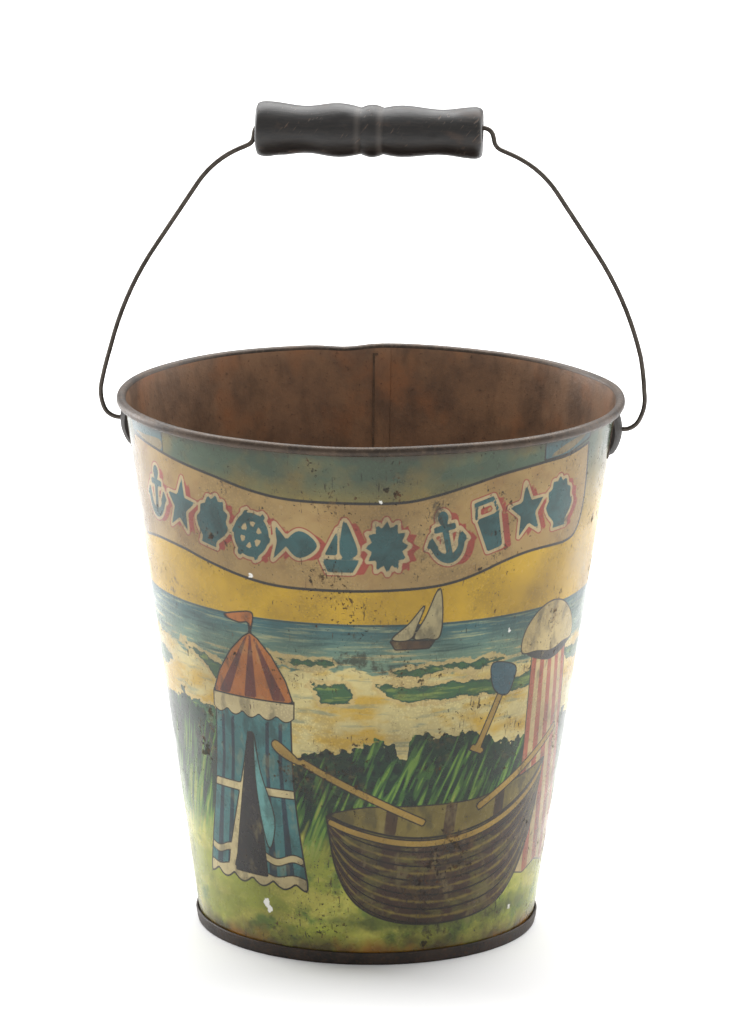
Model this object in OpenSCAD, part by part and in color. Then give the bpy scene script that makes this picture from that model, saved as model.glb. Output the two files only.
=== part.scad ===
/* [Pail] */
// Height to the top of the rolled rim
pail_h = 160; // [130:1:200]
// Outer radius over the rolled rim
rim_r = 74.8; // [65:0.2:95]
// Inner radius of the body sheet where it meets the ground plane
foot_r = 49.3; // [42:0.1:60]
// Thickness of the body sheet
sheet_t = 0.4; // [0.3:0.05:0.6]
// Diameter of the hoop wire inside the rolled rim
hoop_d = 1.96; // [1.4:0.02:2.6]
// Slack between the hoop wire and the sheet rolled round it
hoop_slack = 0.02; // [0.01:0.01:0.05]
// How far the sheet is rolled round the hoop wire, in degrees
roll_turn = 312; // [270:1:330]

/* [Side seam] */
// Turn of the seam about the pail's axis, 90 being straight behind
seam_at = 92.5; // [60:0.5:120]
// Width of the lap
lap_w = 4; // [3:0.5:8]
// Width of the solder run beside the lap
seam_solder_w = 1.4; // [0.8:0.2:3]
// Thickness of the solder run
seam_solder_t = 0.2; // [0.1:0.05:0.35]

/* [Base] */
// Thickness of the base sheet
base_t = 0.4; // [0.3:0.05:0.6]
// Height of the band that grips the body's foot
band_h = 3.8; // [3:0.1:6]
// Thickness of the band, which is hemmed double
band_t = 0.75; // [0.6:0.05:1]
// Gap between the body sheet and each wall of the base's channel
channel_slack = 0.05; // [0.02:0.01:0.1]
// Underside of the recessed floor above the ground
floor_z = 3; // [2:0.1:3.4]

/* [Ears] */
// Height of the ears' hole, which is the bail's pivot
pivot_z = 151; // [120:1:190]
// Width of an ear
ear_w = 13; // [11:0.5:16]
// Reach of an ear above the pivot
ear_up = 5.7; // [4:0.1:6]
// Reach of an ear below the pivot
ear_down = 6.8; // [5:0.1:9]
// Sheet thickness of an ear
ear_t = 0.6; // [0.5:0.05:0.9]
// How far an ear's face stands off the body at the pivot
ear_depth = 2.8; // [2.6:0.1:4]
// Radius of the ear's dished face
ear_dish_r = 12; // [10:0.5:16]
// Cut across each corner of an ear
ear_corner = 1; // [0.5:0.1:2]
// Spread of the solder round an ear
ear_solder_w = 0.8; // [0.4:0.1:1.2]
// Thickness of the solder round an ear
ear_solder_t = 0.35; // [0.2:0.05:0.6]

/* [Bail] */
// Diameter of the bail wire
bail_d = 1.4; // [1:0.05:1.6]
// Radial clearance of the wire in an ear's hole
pivot_slack = 0.08; // [0.05:0.01:0.1]
// Diameter of the upset head behind each ear
head_d = 2.8; // [2.4:0.1:3.2]
// Thickness of the upset head
head_t = 0.7; // [0.5:0.1:0.8]

/* [Grip] */
// Diameter of the hole through the grip
grip_bore_d = 4.6; // [3:0.1:5]
// Sideways place of the grip on the wire
grip_shift = -1.1; // [-1.6:0.1:1.6]

/* [Hidden] */
$fn = 96;

// The roll's cross-section is a circle round the hoop wire
hoop_r = hoop_d / 2 + hoop_slack;
roll_r = hoop_r + sheet_t;
roll_x = rim_r - roll_r;
roll_z = pail_h - roll_r;

// The sheet's inner face is the line from the foot that just touches the roll
foot_to_roll = norm([roll_x - foot_r, roll_z]);
taper = atan2(roll_x - foot_r, roll_z) - asin(roll_r / foot_to_roll);
wall_end = foot_to_roll * cos(asin(roll_r / foot_to_roll));

function inner_r(z) = foot_r + z * tan(taper);
// Radius at height z of a cone that lies the distance out beyond the sheet's inner face
function cone_r(z, out) = inner_r(z) + out / cos(taper);

foot_z = base_t + 0.05;
degrees_per_mm = 360 / (2 * PI * inner_r(pail_h / 2));
lap_turn = lap_w * degrees_per_mm;
seam_solder_turn = seam_solder_w * degrees_per_mm;
seam_z0 = band_h + 1;
seam_z1 = roll_z - 1.2;
hoop_gap_turn = 0.4;

ear_face_x = cone_r(pivot_z, sheet_t) + ear_depth;
ear_inner_x = ear_face_x - ear_t;
ear_reach = 16;
pin_end_x = ear_face_x + 0.3;
head_x = ear_inner_x - 0.5;
bail_r = bail_d / 2;

// One half of the bail from its ear: [straight run, turn towards the middle, bend radius]
BAIL_BENDS = [
    [0, 68, 5.02],
    [0.8, 29.1, 11.83],
    [0.8, 26.4, 96.5],
    [21.9, 33, 29.5],
    [3.1, -56.5, 3],
    [1.7, 80, 3]
];
// The wire draws a little thinner in its bends, which reach this far into the straights
bend_thinning = 0.01;
bend_reach = 0.05;
// Grip stations from its middle bead: [place, radius, shape of the run from there to the next]
TURNING = [
    [-33.9, 6.9, "round"], [-31, 8.15, "wave"], [-19.2, 6.9, "wave"], [-10, 7.85, "fall"],
    [-3.3, 6.8, "rise"], [0, 7.7, "fall"], [3.3, 6.85, "rise"], [8.8, 7.6, "wave"],
    [19.9, 6.7, "wave"], [30, 7.6, "fall"], [32.1, 6.9, "rise"]
];
grip_steps = 8;
grip_mid = (TURNING[0][0] + TURNING[len(TURNING) - 1][0]) / 2;

// A position on the bail is [x, z, heading in degrees], with the heading counted from +X to +Z
function heading(a) = [cos(a), sin(a)];
function after_run(p, run) = [for (i = [0:1]) p[i] + run * heading(p[2])[i], p[2]];
function bend_centre(p, turn, r) =
    [for (i = [0:1]) p[i] + r * heading(p[2] + 90 * sign(turn))[i]];
function after_bend(p, turn, r) =
    let (c = bend_centre(p, turn, r), out = heading(p[2] + turn - 90 * sign(turn)))
    [c[0] + r * out[0], c[1] + r * out[1], p[2] + turn];
function after_step(p, step) = after_bend(after_run(p, step[0]), step[1], step[2]);
function after_steps(p, n) = n == 0 ? p : after_step(after_steps(p, n - 1), BAIL_BENDS[n - 1]);

bail_start = [pin_end_x, pivot_z, 0];
bail_top = after_steps(bail_start, len(BAIL_BENDS));
grip_z = bail_top[1] - (grip_bore_d / 2 - bail_r - 0.1);

// Share of the way from one station's radius to the next, t running from 0 to 1
function ease(shape, t) =
    shape == "wave" ? (1 - cos(180 * t)) / 2 :
    shape == "fall" ? 1 - cos(90 * t) :
    sin(90 * t);
function turned(i, t) =
    let (a = TURNING[i], b = TURNING[i + 1])
    [a[0] + (b[0] - a[0]) * (a[2] == "round" ? 1 - cos(90 * t) : t),
     a[1] + (b[1] - a[1]) * ease(a[2], t)];

module section(turn = 360) {
    rotate_extrude(angle = turn) children();
}

// A band of the conical wall between two offsets from its inner face and two heights
module wall_band(z0, z1, from, to) {
    polygon([
        [cone_r(z0, from), z0], [cone_r(z0, to), z0],
        [cone_r(z1, to), z1], [cone_r(z1, from), z1]
    ]);
}

// The wall's section up to where it meets the roll squarely
module wall_section() {
    foot = [foot_r, 0];
    up = [sin(taper), cos(taper)];
    out = [cos(taper), -sin(taper)];
    polygon([
        [cone_r(foot_z, 0), foot_z], [cone_r(foot_z, sheet_t), foot_z],
        foot + up * wall_end + out * sheet_t, foot + up * wall_end
    ]);
}

// The sheet's section round the hoop wire, open at the foot beside the wall
module roll_section() {
    start = 180 - taper;
    reach = 2 * roll_r;
    open_turn = 360 - roll_turn;
    translate([roll_x, roll_z]) difference() {
        circle(r = roll_r);
        circle(r = hoop_r);
        polygon([
            [0, 0], reach * heading(start), reach * heading(start + open_turn / 2),
            reach * heading(start + open_turn)
        ]);
    }
}

module body_sheet() {
    color("darkseagreen") {
        section() {
            wall_section();
            roll_section();
        }
        rotate([0, 0, seam_at - lap_turn])
            section(lap_turn) wall_band(seam_z0, seam_z1, -sheet_t, sheet_t / 2);
    }
}

module rim_wire() {
    color("dimgray") rotate([0, 0, seam_at])
        section(360 - hoop_gap_turn) translate([roll_x, roll_z]) circle(d = hoop_d);
}

module seam_solder() {
    color("darkgray") rotate([0, 0, seam_at])
        section(seam_solder_turn) wall_band(seam_z0, seam_z1, -seam_solder_t, 0);
}

// The channel round the body's foot and the floor recessed inside it
module base_pan() {
    inner_face = -channel_slack - base_t;
    band_face = sheet_t + channel_slack;
    hem_r = band_t / 2;
    hem_z = band_h - hem_r;
    color("saddlebrown") section() {
        wall_band(0, floor_z + base_t, inner_face, -channel_slack);
        translate([0, floor_z]) square([cone_r(floor_z, inner_face) + base_t / 2, base_t]);
        wall_band(0, base_t, inner_face, band_face + band_t);
        wall_band(0, hem_z, band_face, band_face + band_t);
        translate([cone_r(hem_z, band_face + hem_r), hem_z]) circle(r = hem_r * cos(taper));
    }
}

// The ear's outline, seen along +X, grown sideways and downwards, extruded through the ear
module ear_block(grow) {
    half_w = ear_w / 2 + grow;
    low = -ear_down - grow;
    c = ear_corner;
    translate([ear_face_x - ear_reach + 2, 0, pivot_z]) rotate([90, 0, 90])
        linear_extrude(height = ear_reach) polygon([
            [-half_w, ear_up - c], [-half_w, low + c], [-half_w + c, low], [half_w - c, low],
            [half_w, low + c], [half_w, ear_up - c], [half_w - c, ear_up], [-half_w + c, ear_up]
        ]);
}

module ear_dish(r) {
    translate([ear_face_x - ear_dish_r, 0, pivot_z]) sphere(r = r);
}

// Everything inside a cone that lies the distance out beyond the sheet's outer face
module inside_body(out) {
    z0 = pivot_z - 2 * ear_down;
    z1 = pivot_z + 2 * ear_up;
    translate([0, 0, z0])
        cylinder(h = z1 - z0, r1 = cone_r(z0, sheet_t + out), r2 = cone_r(z1, sheet_t + out));
}

// The right ear: a dished cup, open against the body, with the bail's hole in its face
module ear() {
    difference() {
        intersection() {
            ear_block(0);
            ear_dish(ear_dish_r);
        }
        difference() {
            intersection() {
                ear_block(-ear_t);
                ear_dish(ear_dish_r - ear_t);
            }
            translate([0, 0, pivot_z + ear_up - ear_t]) cylinder(h = 2 * ear_t, r = 2 * rim_r);
        }
        inside_body(0);
        translate([ear_face_x - 2, 0, pivot_z]) rotate([0, 90, 0])
            cylinder(h = 4, r = bail_r + pivot_slack);
    }
}

module ear_solder() {
    difference() {
        intersection() {
            ear_block(ear_solder_w);
            inside_body(ear_solder_t);
        }
        ear_block(0);
        inside_body(0);
    }
}

module right_ear() {
    color("black") ear();
}

module left_ear() {
    color("black") mirror([1, 0, 0]) ear();
}

module right_ear_solder() {
    color("gray") ear_solder();
}

module left_ear_solder() {
    color("gray") mirror([1, 0, 0]) ear_solder();
}

module straight_wire(p, run) {
    translate([p[0], 0, p[1]]) rotate([0, 90 - p[2], 0]) cylinder(h = run, r = bail_r);
}

module bent_wire(p, turn, r) {
    c = bend_centre(p, turn, r);
    more = bend_reach / r * 180 / PI;
    first = (turn > 0 ? p[2] - 90 : p[2] + 90 + turn) - more;
    translate([c[0], 0, c[1]]) rotate([90, 0, 0]) rotate([0, 0, first])
        section(abs(turn) + 2 * more) translate([r, 0]) circle(r = bail_r - bend_thinning);
}

// One side of the bail: the pin and its head, then the bends up to the top run
module bail_side() {
    straight_wire([head_x, pivot_z, 0], pin_end_x - head_x);
    translate([head_x - head_t, 0, pivot_z]) rotate([0, 90, 0]) cylinder(h = head_t, d = head_d);
    for (i = [0 : len(BAIL_BENDS) - 1]) {
        p = after_steps(bail_start, i);
        step = BAIL_BENDS[i];
        if (step[0] > 0) straight_wire(p, step[0]);
        bent_wire(after_run(p, step[0]), step[1], step[2]);
    }
}

module bail_wire() {
    color("darkslategray") {
        bail_side();
        mirror([1, 0, 0]) bail_side();
        straight_wire(bail_top, 2 * bail_top[0]);
    }
}

// The turned grip, with its stations joined by waves, and its hole
module grip() {
    last = len(TURNING) - 1;
    outline = [
        for (i = [0 : last - 1], k = [0 : grip_steps - 1]) turned(i, k / grip_steps),
        [TURNING[last][0], TURNING[last][1]]
    ];
    color("sienna") translate([grip_shift - grip_mid, 0, grip_z]) rotate([0, 90, 0])
        section() difference() {
            polygon(concat([[0, outline[0][0]]], [for (p = outline) [p[1], p[0]]],
                [[0, outline[len(outline) - 1][0]]]));
            translate([0, 2 * outline[0][0]]) square([grip_bore_d / 2, -4 * outline[0][0]]);
        }
}

body_sheet();
rim_wire();
seam_solder();
base_pan();
left_ear();
right_ear();
left_ear_solder();
right_ear_solder();
bail_wire();
grip();
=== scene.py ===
"""A child's printed tin sand pail: the looks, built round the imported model.

Lengths are millimetres in the mesh code and in the patterns, and metres in the finished meshes.
"""
import math

import bmesh
import bpy
import numpy as np
from mathutils import Matrix, Vector


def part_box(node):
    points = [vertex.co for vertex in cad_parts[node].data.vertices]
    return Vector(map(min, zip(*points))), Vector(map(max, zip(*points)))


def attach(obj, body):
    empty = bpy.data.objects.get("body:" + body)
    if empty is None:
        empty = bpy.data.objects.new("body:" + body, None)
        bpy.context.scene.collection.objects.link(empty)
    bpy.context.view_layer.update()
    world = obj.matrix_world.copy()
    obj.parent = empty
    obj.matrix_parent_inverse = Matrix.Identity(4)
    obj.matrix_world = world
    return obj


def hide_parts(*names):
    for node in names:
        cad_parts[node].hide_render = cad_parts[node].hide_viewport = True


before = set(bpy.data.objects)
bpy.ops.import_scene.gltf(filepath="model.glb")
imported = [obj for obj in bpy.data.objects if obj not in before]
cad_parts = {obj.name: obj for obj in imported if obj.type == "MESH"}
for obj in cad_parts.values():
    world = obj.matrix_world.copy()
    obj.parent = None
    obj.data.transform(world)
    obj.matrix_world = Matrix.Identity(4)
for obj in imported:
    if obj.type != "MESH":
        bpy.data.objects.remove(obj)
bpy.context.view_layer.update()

M = 0.001
scene = bpy.context.scene

# ---------------------------------------------------------------- camera

CAMERA_TURN = 4.2  # degrees round the pail's axis, to the right of its front
CAMERA_AWAY = 1718.5  # from the axis, level with the floor
CAMERA_HIGH = 526.2
CAMERA_PITCH = 13.17  # degrees that it looks down
CAMERA_ROLL = 0.5  # degrees
LENS = 210
SHIFT = -0.0038


def make_camera():
    """A long lens looking a little down at the pail's printed front."""
    data = bpy.data.cameras.new("camera")
    data.lens = LENS
    data.sensor_width = 36
    data.sensor_fit = "AUTO"
    data.shift_x = SHIFT
    data.clip_end = 50
    camera = bpy.data.objects.new("camera", data)
    turn = math.radians(CAMERA_TURN)
    place = (CAMERA_AWAY * math.sin(turn), -CAMERA_AWAY * math.cos(turn), CAMERA_HIGH)
    look = (Matrix.Rotation(turn, 4, "Z") @ Matrix.Rotation(math.radians(90 - CAMERA_PITCH), 4, "X")
            @ Matrix.Rotation(math.radians(CAMERA_ROLL), 4, "Z"))
    camera.matrix_world = Matrix.Translation(Vector(place) * M) @ look
    scene.collection.objects.link(camera)
    scene.camera = camera


make_camera()

# ---------------------------------------------------------------- sizes from the frame


def box_mm(node):
    """The low and the high corner of a CAD node."""
    low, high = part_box(node)
    return np.array(low) / M, np.array(high) / M


def cad_points(node):
    """The vertices of a CAD node."""
    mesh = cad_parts[node].data
    co = np.empty(len(mesh.vertices) * 3)
    mesh.vertices.foreach_get("co", co)
    return co.reshape(-1, 3) / M


body_low, body_high = box_mm("body_sheet")
hoop_low, hoop_high = box_mm("rim_wire")
seam_low, seam_high = box_mm("seam_solder")
FOOT_Z = body_low[2]
HOOP_R = (hoop_high[2] - hoop_low[2]) / 2
ROLL_X = hoop_high[0] - HOOP_R
ROLL_Z = (hoop_high[2] + hoop_low[2]) / 2
ROLL_R = body_high[2] - ROLL_Z

_sheet = cad_points("body_sheet")
_foot = _sheet[_sheet[:, 2] < FOOT_Z + 0.02]
_foot_r = np.hypot(_foot[:, 0], _foot[:, 1])
FOOT_IN, FOOT_OUT = _foot_r.min(), _foot_r.max()

TAPER = math.atan2(ROLL_X - FOOT_IN, ROLL_Z - FOOT_Z) - math.asin(
    ROLL_R / math.hypot(ROLL_X - FOOT_IN, ROLL_Z - FOOT_Z))
SHEET = (FOOT_OUT - FOOT_IN) * math.cos(TAPER)
SEAM_ANGLE = math.atan2(seam_low[1] + seam_high[1], seam_low[0] + seam_high[0])
EAR_ANGLES = (0.0, math.pi)
FRONT = math.radians(CAMERA_TURN - 90)
MIDDLE_R = 61.0  # radius halfway up the wall


def wall_r(z):
    """Radius of the sheet's outer face at a height."""
    return FOOT_OUT + (z - FOOT_Z) * math.tan(TAPER)


def wrapped(angle):
    """The same angle, from minus half a turn to half a turn."""
    return (angle + math.pi) % (2 * math.pi) - math.pi


# ---------------------------------------------------------------- dents

DENTS = [
    # angle from the front in degrees, height, depth, width round, width up
    (70, 118, 0.55, 9, 12), (-66, 60, 0.5, 9, 10), (28, 30, 0.35, 12, 9), (-20, 132, 0.3, 12, 7),
    (135, 70, 0.7, 14, 14), (-140, 110, 0.6, 12, 10), (170, 40, 0.5, 12, 12), (100, 25, 0.4, 10, 9),
]


def dented(angle, z):
    """How far the aged sheet has moved outwards and upwards from its drawn place."""
    high = np.clip((z - 8) / 120, 0, 1)
    from_front = wrapped(angle - FRONT)
    near_ears = np.ones_like(z)
    for ear in EAR_ANGLES:
        turn = wrapped(angle - ear) / math.radians(11)
        near_ears *= 1 - np.exp(-turn ** 2) * np.clip((z - 120) / 15, 0, 1)
    out = high * (0.22 * np.sin(2 * angle + 0.6) + 0.14 * np.sin(3 * angle + 2)
                  + 0.08 * np.sin(7 * angle + z / 30))
    for at, height, depth, wide, tall in DENTS:
        side = wrapped(from_front - math.radians(at)) * MIDDLE_R
        out = out - depth * np.exp(-(side / wide) ** 2 - ((z - height) / tall) ** 2)
    by_seam = wrapped(angle - SEAM_ANGLE - math.radians(7)) / math.radians(5.5)
    kink = np.exp(-by_seam ** 2) * np.clip((z - 120) / 40, 0, 1)
    edge = np.clip((z - 140) / 20, 0, 1)
    up = edge * (0.12 * np.sin(5 * angle + 1) + 0.08 * np.sin(9 * angle)) * near_ears - 0.8 * kink * edge
    return out * near_ears * np.clip((z - 5) / 15, 0, 1) - 0.5 * kink, up


# ---------------------------------------------------------------- mesh helpers


def new_object(name, points, faces, materials, indices=None):
    """A closed mesh from points in millimetres, with its faces turned outwards."""
    mesh = bpy.data.meshes.new(name)
    mesh.from_pydata((np.asarray(points) * M).tolist(), [], faces)
    for material in materials:
        mesh.materials.append(material)
    if indices is not None:
        mesh.polygons.foreach_set("material_index", indices)
    work = bmesh.new()
    work.from_mesh(mesh)
    bmesh.ops.recalc_face_normals(work, faces=work.faces)
    work.to_mesh(mesh)
    work.free()
    mesh.polygons.foreach_set("use_smooth", [True] * len(mesh.polygons))
    made = bpy.data.objects.new(name, mesh)
    scene.collection.objects.link(made)
    return made


def rings(rows, columns, closed):
    """Faces of a grid that is closed round its columns, and round its rows too if closed."""
    row = np.arange(rows if closed else rows - 1)
    column = np.arange(columns)
    i, j = np.meshgrid(row, column, indexing="ij")
    down, across = (i + 1) % rows, (j + 1) % columns
    quads = np.stack([i * columns + j, i * columns + across,
                      down * columns + across, down * columns + j], -1)
    return quads.reshape(-1, 4).tolist()


def sharpen(piece, degrees):
    """Marks the edges that turn more than the angle as sharp."""
    work = bmesh.new()
    work.from_mesh(piece.data)
    for edge in work.edges:
        edge.smooth = not edge.is_manifold or edge.calc_face_angle(0) < math.radians(degrees)
    work.to_mesh(piece.data)
    work.free()


# ---------------------------------------------------------------- node helpers


def srgb(text):
    """An sRGB hex colour as the linear colour that a shader takes."""
    parts = [int(text[i:i + 2], 16) / 255 for i in (1, 3, 5)]
    return tuple(c / 12.92 if c <= 0.04045 else ((c + 0.055) / 1.055) ** 2.4 for c in parts) + (1,)


def add(tree, kind, settings=None, inputs=None):
    """One node, with its settings and with values or links for its inputs."""
    made = tree.nodes.new(kind)
    for name, value in (settings or {}).items():
        setattr(made, name, value)
    for name, value in (inputs or {}).items():
        if isinstance(value, bpy.types.NodeSocket):
            tree.links.new(value, made.inputs[name])
        else:
            made.inputs[name].default_value = value
    return made


def material(name):
    """A new material and its empty node tree."""
    made = bpy.data.materials.new(name)
    made.use_nodes = True
    made.node_tree.nodes.clear()
    return made, made.node_tree


def finish_with(tree, shader):
    """Gives the material its surface."""
    add(tree, "ShaderNodeOutputMaterial", inputs={"Surface": shader.outputs[0]})


def in_mm(tree):
    """The piece's own coordinates in millimetres."""
    own = add(tree, "ShaderNodeTexCoord").outputs["Object"]
    return add(tree, "ShaderNodeVectorMath", {"operation": "SCALE"},
               {0: own, "Scale": 1 / M}).outputs[0]


def mottle(tree, where, size, stretch=(1, 1, 1), detail=3, rough=0.55, shift=0.0):
    """Cloudy noise from 0 to 1 whose clouds are about size millimetres across."""
    placed = add(tree, "ShaderNodeMapping", inputs={
        "Vector": where, "Location": (shift, 1.7 * shift, -shift),
        "Scale": tuple(1 / (size * s) for s in stretch)}).outputs[0]
    return add(tree, "ShaderNodeTexNoise", inputs={
        "Vector": placed, "Scale": 1, "Detail": detail, "Roughness": rough}).outputs[0]


def span(tree, value, low, high, to_low=0.0, to_high=1.0):
    """value from low to high, as a number from to_low to to_high, held at both ends."""
    return add(tree, "ShaderNodeMapRange", inputs={
        "Value": value, "From Min": low, "From Max": high,
        "To Min": to_low, "To Max": to_high}).outputs[0]


def sums(tree, operation, a, b=0.0, c=0.0):
    """One step of arithmetic."""
    return add(tree, "ShaderNodeMath", {"operation": operation}, {0: a, 1: b, 2: c}).outputs[0]


def over(tree, under, top, share, how="MIX"):
    """The colour top laid over the colour under, by share."""
    return add(tree, "ShaderNodeMix", {"data_type": "RGBA", "blend_type": how},
               {0: share, 6: under, 7: top}).outputs[2]


def bump(tree, height, depth_mm, strength=1.0):
    """A normal from a height of 0 to 1 that stands for depth_mm."""
    return add(tree, "ShaderNodeBump", inputs={
        "Height": height, "Distance": depth_mm * M, "Strength": strength}).outputs[0]


# ---------------------------------------------------------------- drawing the print


def curve(points, closed=True, steps=6):
    """A smooth line through the points."""
    p = np.array(points, float)
    n = len(p)
    index = np.arange(n) if closed else np.arange(n - 1)
    a = p[(index - 1) % n] if closed else p[np.maximum(index - 1, 0)]
    b, c = p[index], p[(index + 1) % n]
    d = p[(index + 2) % n] if closed else p[np.minimum(index + 2, n - 1)]
    t = np.linspace(0, 1, steps, endpoint=False)[None, :, None]
    a, b, c, d = (v[:, None, :] for v in (a, b, c, d))
    line = 0.5 * (2 * b + (c - a) * t + (2 * a - 5 * b + 4 * c - d) * t ** 2
                  + (3 * b - a - 3 * c + d) * t ** 3)
    line = line.reshape(-1, 2)
    return line if closed else np.vstack([line, p[-1]])


def disc(x, z, rx, rz=None, n=28):
    """A circle, or an ellipse if rz is given."""
    turn = np.linspace(0, 2 * math.pi, n, endpoint=False)
    return np.c_[x + rx * np.cos(turn), z + (rz or rx) * np.sin(turn)]


def bar(x0, z0, x1, z1, wide):
    """A straight bar from one point to another."""
    along = np.array([x1 - x0, z1 - z0], float)
    side = np.array([-along[1], along[0]]) / np.hypot(*along) * wide / 2
    a, b = np.array([x0, z0]), np.array([x1, z1])
    return np.array([a + side, a - side, b - side, b + side])


def star(x, z, r, points, waist):
    """A star whose inner corners lie at the share waist of its radius."""
    turn = np.pi / 2 + np.arange(2 * points) * np.pi / points
    reach = np.where(np.arange(2 * points) % 2, r * waist, r)
    return np.c_[x + reach * np.cos(turn), z + reach * np.sin(turn)]


FAR = 9.0  # distances past this aren't worked out


class Print:
    """Signed distances, in millimetres, from points of the sheet to the edges of each ink."""

    def __init__(self, angle, z):
        self.z = z
        self.angle = angle
        self.radius = wall_r(z)
        self.inks = {}
        self.turn_to(0)

    def turn_to(self, degrees, mirror=False):
        """Draws from now on about a line that lies this far round from the front."""
        self.x = wrapped(self.angle - FRONT - math.radians(degrees)) * self.radius
        if mirror:
            self.x = -self.x

    def distance(self, outline):
        """Distance to a closed outline, below zero inside it."""
        low, high = outline.min(0) - FAR, outline.max(0) + FAR
        near = np.flatnonzero((self.x > low[0]) & (self.x < high[0])
                              & (self.z > low[1]) & (self.z < high[1]))
        out = np.full(len(self.x), FAR)
        px, pz = self.x[near], self.z[near]
        best = np.full(len(near), FAR ** 2)
        inside = np.zeros(len(near), bool)
        for (ax, az), (bx, bz) in zip(outline, np.roll(outline, -1, 0)):
            ex, ez = bx - ax, bz - az
            length = ex * ex + ez * ez
            if length < 1e-12:
                continue
            wx, wz = px - ax, pz - az
            t = np.clip((wx * ex + wz * ez) / length, 0, 1)
            best = np.minimum(best, (wx - ex * t) ** 2 + (wz - ez * t) ** 2)
            crossing = (az > pz) != (bz > pz)
            if ez:
                inside ^= crossing & (px < ax + ex * (pz - az) / ez)
        out[near] = np.sqrt(best) * np.where(inside, -1, 1)
        return out

    def ink(self, name, *shapes, within=None):
        """Adds shapes to an ink, cut to the distance field within if there is one."""
        field = self.inks.setdefault(name, np.full(len(self.x), FAR))
        for shape in shapes:
            near = self.distance(np.asarray(shape, float)) if np.ndim(shape) == 2 else shape
            if within is not None:
                near = np.maximum(near, within)
            field = np.minimum(field, near)
        self.inks[name] = field


RIBBON_TOP = [(-92, 152), (-78, 151), (-65, 149.5), (-49, 147.3), (-36, 144.6), (-24, 143),
              (-8, 142.8), (9, 143), (19, 144.6), (30, 147.2), (41, 149.6), (54, 151), (66, 151.6),
              (77, 153.5)]
RIBBON_FOOT = [(66, 124.6), (52, 124.6), (42, 123), (33, 120.3), (25, 118.2), (16, 117), (0, 116.3),
               (-14, 116.2), (-26, 116.4), (-36, 117.6), (-50, 120.4), (-62, 122.6), (-76, 123),
               (-88, 121.5)]


def ribbon_middle(x):
    """Height of the middle of the ribbon."""
    top = np.interp(x, *np.array(RIBBON_TOP).T)
    foot = np.interp(x, *np.array(RIBBON_FOOT[::-1]).T)
    return (top + foot) / 2


def motif(kind):
    """One ribbon motif as outlines about (0, 0), one unit high."""
    if kind == "star":
        return [star(0, -0.02, 0.55, 5, 0.42)]
    if kind == "sun":
        return [star(0, 0, 0.52, 12, 0.68)]
    if kind == "anchor":
        turn = np.radians(np.linspace(195, 345, 18))
        arms = np.vstack([np.c_[0.44 * np.cos(turn), 0.02 + 0.5 * np.sin(turn)],
                          np.c_[0.3 * np.cos(turn), 0.02 + 0.33 * np.sin(turn)][::-1]])
        return [bar(0, -0.45, 0, 0.3, 0.15), bar(-0.27, 0.2, 0.27, 0.2, 0.12),
                disc(0, 0.4, 0.13), arms,
                np.array([(-0.52, -0.1), (-0.36, 0.12), (-0.22, -0.16)]),
                np.array([(0.52, -0.1), (0.36, 0.12), (0.22, -0.16)])]
    if kind == "fish":
        return [curve([(-0.2, 0), (0.05, 0.24), (0.33, 0.2), (0.55, 0), (0.33, -0.2), (0.05, -0.24)]),
                np.array([(-0.12, 0), (-0.5, 0.34), (-0.42, 0), (-0.5, -0.34)])]
    if kind == "shell":
        turn = np.radians(np.linspace(-8, 188, 60))
        fan = 0.46 + 0.035 * np.cos(7 * (turn - np.pi / 2) * 180 / 98)
        return [np.vstack([np.c_[fan * np.cos(turn), -0.14 + 1.25 * fan * np.sin(turn)],
                           [(-0.2, -0.4), (-0.26, -0.5), (0.26, -0.5), (0.2, -0.4)]])]
    if kind == "wheel":
        spokes = [bar(-0.5 * math.cos(a), -0.5 * math.sin(a), 0.5 * math.cos(a), 0.5 * math.sin(a), 0.11)
                  for a in np.radians((0, 60, 120))]
        return spokes + [disc(0, 0, 0.15)]
    if kind == "boat":
        return [np.array([(-0.42, -0.24), (0.46, -0.24), (0.3, -0.48), (-0.28, -0.48)]),
                curve([(0.02, -0.16), (0.08, 0.5), (0.3, 0.2), (0.4, -0.14)], steps=5),
                np.array([(-0.36, -0.16), (-0.06, -0.16), (-0.05, 0.34)])]
    return [np.array([(-0.3, 0.16), (0.3, 0.16), (0.21, -0.5), (-0.21, -0.5)]),
            bar(-0.3, 0.16, -0.24, 0.42, 0.08), bar(0.3, 0.16, 0.24, 0.42, 0.08),
            bar(-0.27, 0.44, 0.27, 0.44, 0.09)]


def draw_motif(art, kind, x, size):
    """One motif standing on the ribbon, with a drop shade to its right."""
    slope = math.atan2(ribbon_middle(x + 4) - ribbon_middle(x - 4), 8)
    turn = np.array([[math.cos(slope), -math.sin(slope)], [math.sin(slope), math.cos(slope)]])
    centre = np.array([x, ribbon_middle(x)])
    for part in motif(kind):
        placed = part * (0.78 * size, size) @ turn.T + centre
        art.ink("motif", placed)
        art.ink("shade", placed + (1.7, -0.3), placed + (3.2, -0.6))
    if kind == "wheel":
        for name, side, down in (("motif", 0, 0), ("shade", 2.6, 0.5)):
            off = np.hypot((art.x - centre[0] - side) / 0.85, art.z - centre[1] + down)
            art.ink(name, np.abs(off - 0.34 * size) - 0.08 * size)


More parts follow.
